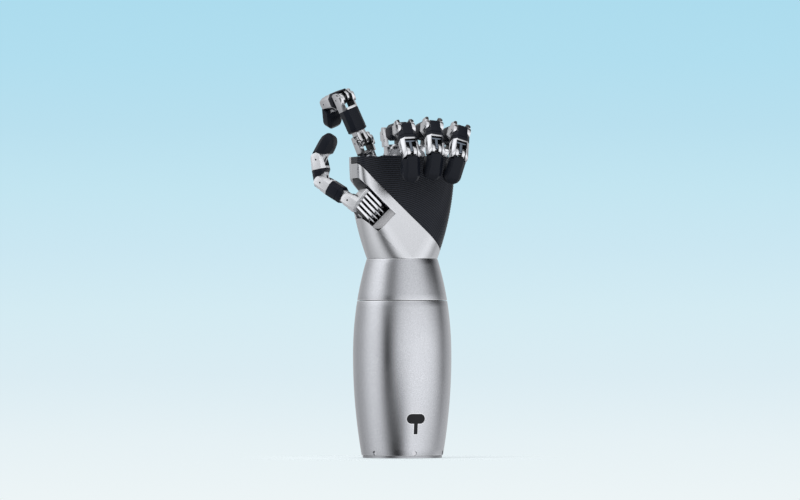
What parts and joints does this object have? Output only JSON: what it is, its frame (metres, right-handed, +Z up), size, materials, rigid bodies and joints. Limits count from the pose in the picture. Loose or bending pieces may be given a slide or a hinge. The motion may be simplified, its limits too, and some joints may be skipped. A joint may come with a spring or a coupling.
{
  "type": "dexterous robot hand",
  "caption": "Humanoid robot hand on a round forearm housing, with curled jointed fingers, an opposed thumb on a comb hinge, a ribbed palm pad and a flat base that bolts down.",
  "frame": {"origin": "centre of the forearm's flat bottom face", "axes": "+Z up along the forearm towards the fingers, the palm faces -Y, the thumb is on the -X side"},
  "size_m": [0.1486, 0.1223, 0.3688],
  "materials": {
    "satin_metal": "satin, finely speckled",
    "ribbed_rubber": "matte, fine ribs",
    "charcoal_plastic": "matte, softly rounded",
    "black_plastic": "matte",
    "blued_steel": "fine brushed",
    "bright_metal": "polished",
    "socket_metal": "machined",
    "motor_steel": "smooth",
    "board_green": "board lacquer",
    "machined_aluminium": "turned",
    "pin_steel": "ground"
  },
  "bodies": {
    "housing": {"base_plate": "machined_aluminium", "base_screws": "pin_steel", "forearm_shell": "satin_metal", "forearm_collar": "satin_metal", "port_cover": "black_plastic", "lower_deck": "machined_aluminium", "upper_deck": "machined_aluminium", "tie_rods": "pin_steel", "finger_motors": "motor_steel", "control_board": "board_green", "wrist_flange": "machined_aluminium", "palm_frame": "machined_aluminium", "spread_pins": "pin_steel", "palm_shell": "satin_metal", "palm_pad": "ribbed_rubber", "back_cover": "satin_metal", "top_cover": "black_plastic", "thumb_socket": "socket_metal", "thumb_axle": "pin_steel"},
    "index_knuckle": {"index_knuckle": "bright_metal"},
    "middle_knuckle": {"middle_knuckle": "bright_metal"},
    "ring_knuckle": {"ring_knuckle": "bright_metal"},
    "little_knuckle": {"little_knuckle": "bright_metal"},
    "thumb_base": {"thumb_base": "bright_metal", "thumb_fins": "bright_metal"},
    "index_lower": {"index_lower_frame": "bright_metal", "index_lower_cover": "charcoal_plastic"},
    "index_upper": {"index_upper_frame": "bright_metal", "index_upper_cover": "charcoal_plastic", "index_link": "blued_steel"},
    "index_tip": {"index_tip_frame": "bright_metal", "index_tip_cap": "charcoal_plastic"},
    "middle_lower": {"middle_lower_frame": "bright_metal", "middle_lower_cover": "charcoal_plastic"},
    "middle_upper": {"middle_upper_frame": "bright_metal", "middle_upper_cover": "charcoal_plastic", "middle_link": "blued_steel"},
    "middle_tip": {"middle_tip_frame": "bright_metal", "middle_tip_cap": "charcoal_plastic"},
    "ring_lower": {"ring_lower_frame": "bright_metal", "ring_lower_cover": "charcoal_plastic"},
    "ring_upper": {"ring_upper_frame": "bright_metal", "ring_upper_cover": "charcoal_plastic", "ring_link": "blued_steel"},
    "ring_tip": {"ring_tip_frame": "bright_metal", "ring_tip_cap": "charcoal_plastic"},
    "little_lower": {"little_lower_frame": "bright_metal", "little_lower_cover": "charcoal_plastic"},
    "little_upper": {"little_upper_frame": "bright_metal", "little_upper_cover": "charcoal_plastic", "little_link": "blued_steel"},
    "little_tip": {"little_tip_frame": "bright_metal", "little_tip_cap": "charcoal_plastic"},
    "thumb_lower": {"thumb_lower_frame": "bright_metal", "thumb_lower_cover": "charcoal_plastic"},
    "thumb_upper": {"thumb_upper_frame": "bright_metal", "thumb_upper_cover": "charcoal_plastic", "thumb_link": "blued_steel"},
    "thumb_tip": {"thumb_tip_frame": "bright_metal", "thumb_tip_cap": "charcoal_plastic"}
  },
  "joints": [
    {"name": "index_spread", "type": "hinge", "parent": "housing", "child": "index_knuckle", "pos_m": [-0.03458, -0.005, 0.29487], "axis": [0, 1, 0], "range_deg": [0, 16]},
    {"name": "index_curl", "type": "hinge", "parent": "index_knuckle", "child": "index_lower", "pos_m": [-0.0432, -0.005, 0.3162], "axis": [-0.9069, -0.2079, -0.3664], "range_deg": [-8, 54]},
    {"name": "index_bend", "type": "hinge", "parent": "index_lower", "child": "index_upper", "pos_m": [-0.06166, -0.00019, 0.35916], "axis": [-0.9069, -0.2079, -0.3664], "range_deg": [-86, 3]},
    {"name": "index_tip_bend", "type": "hinge", "parent": "index_upper", "child": "index_tip", "pos_m": [-0.06651, 0.0262, 0.35618], "axis": [-0.9069, -0.2079, -0.3664], "range_deg": [-58.5, 2.5]},
    {"name": "middle_spread", "type": "hinge", "parent": "housing", "child": "middle_knuckle", "pos_m": [-0.0118, -0.005, 0.30054], "axis": [0, 1, 0], "range_deg": [0, 3.5]},
    {"name": "middle_curl", "type": "hinge", "parent": "middle_knuckle", "child": "middle_lower", "pos_m": [-0.01321, -0.005, 0.3235], "axis": [0.9981, 0, 0.061], "range_deg": [-86, 4]},
    {"name": "middle_bend", "type": "hinge", "parent": "middle_lower", "child": "middle_upper", "pos_m": [-0.01341, -0.05189, 0.32677], "axis": [0.9981, 0, 0.061], "range_deg": [-64, 19]},
    {"name": "middle_tip_bend", "type": "hinge", "parent": "middle_upper", "child": "middle_tip", "pos_m": [-0.01198, -0.06539, 0.30343], "axis": [0.9981, 0, 0.061], "range_deg": [-40, 12]},
    {"name": "ring_spread", "type": "hinge", "parent": "housing", "child": "ring_knuckle", "pos_m": [0.01321, -0.005, 0.3006], "axis": [0, 1, 0], "range_deg": [-5, 0]},
    {"name": "ring_curl", "type": "hinge", "parent": "ring_knuckle", "child": "ring_lower", "pos_m": [0.0153, -0.005, 0.3235], "axis": [0.9959, 0, -0.0906], "range_deg": [-83, 6]},
    {"name": "ring_bend", "type": "hinge", "parent": "ring_lower", "child": "ring_upper", "pos_m": [0.01582, -0.05165, 0.3292], "axis": [0.9959, 0, -0.0906], "range_deg": [-66, 19]},
    {"name": "ring_tip_bend", "type": "hinge", "parent": "ring_upper", "child": "ring_tip", "pos_m": [0.01372, -0.06556, 0.30616], "axis": [0.9959, 0, -0.0906], "range_deg": [-40, 12]},
    {"name": "little_spread", "type": "hinge", "parent": "housing", "child": "little_knuckle", "pos_m": [0.03677, -0.005, 0.2973], "axis": [0, 1, 0], "range_deg": [-13, 0]},
    {"name": "little_curl", "type": "hinge", "parent": "little_knuckle", "child": "little_lower", "pos_m": [0.0428, -0.005, 0.3195], "axis": [0.965, 0, -0.2622], "range_deg": [-84, 6]},
    {"name": "little_bend", "type": "hinge", "parent": "little_lower", "child": "little_upper", "pos_m": [0.04409, -0.05174, 0.32424], "axis": [0.965, 0, -0.2622], "range_deg": [-65, 20]},
    {"name": "little_tip_bend", "type": "hinge", "parent": "little_upper", "child": "little_tip", "pos_m": [0.03802, -0.06565, 0.30191], "axis": [0.965, 0, -0.2622], "range_deg": [-41, 13]},
    {"name": "thumb_swing", "type": "hinge", "parent": "housing", "child": "thumb_base", "pos_m": [-0.0383, -0.007, 0.2488], "axis": [0.7071, 0, 0.7071], "range_deg": [-8, 50]},
    {"name": "thumb_curl", "type": "hinge", "parent": "thumb_base", "child": "thumb_lower", "pos_m": [-0.058, -0.014, 0.2565], "axis": [0.6428, 0.766, 0], "range_deg": [-20, 5]},
    {"name": "thumb_bend", "type": "hinge", "parent": "thumb_lower", "child": "thumb_upper", "pos_m": [-0.08065, 0.00501, 0.27427], "axis": [0.6428, 0.766, 0], "range_deg": [-48, 13]},
    {"name": "thumb_tip_bend", "type": "hinge", "parent": "thumb_upper", "child": "thumb_tip", "pos_m": [-0.08406, 0.00787, 0.29714], "axis": [0.6428, 0.766, 0], "range_deg": [-41, 12]}
  ],
  "couplings": [
    {"joint": "index_tip_bend", "follows": "index_bend", "ratio": 0.6802},
    {"joint": "middle_tip_bend", "follows": "middle_bend", "ratio": 0.625},
    {"joint": "ring_tip_bend", "follows": "ring_bend", "ratio": 0.6061},
    {"joint": "little_tip_bend", "follows": "little_bend", "ratio": 0.6308},
    {"joint": "thumb_tip_bend", "follows": "thumb_bend", "ratio": 0.8542}
  ]
}
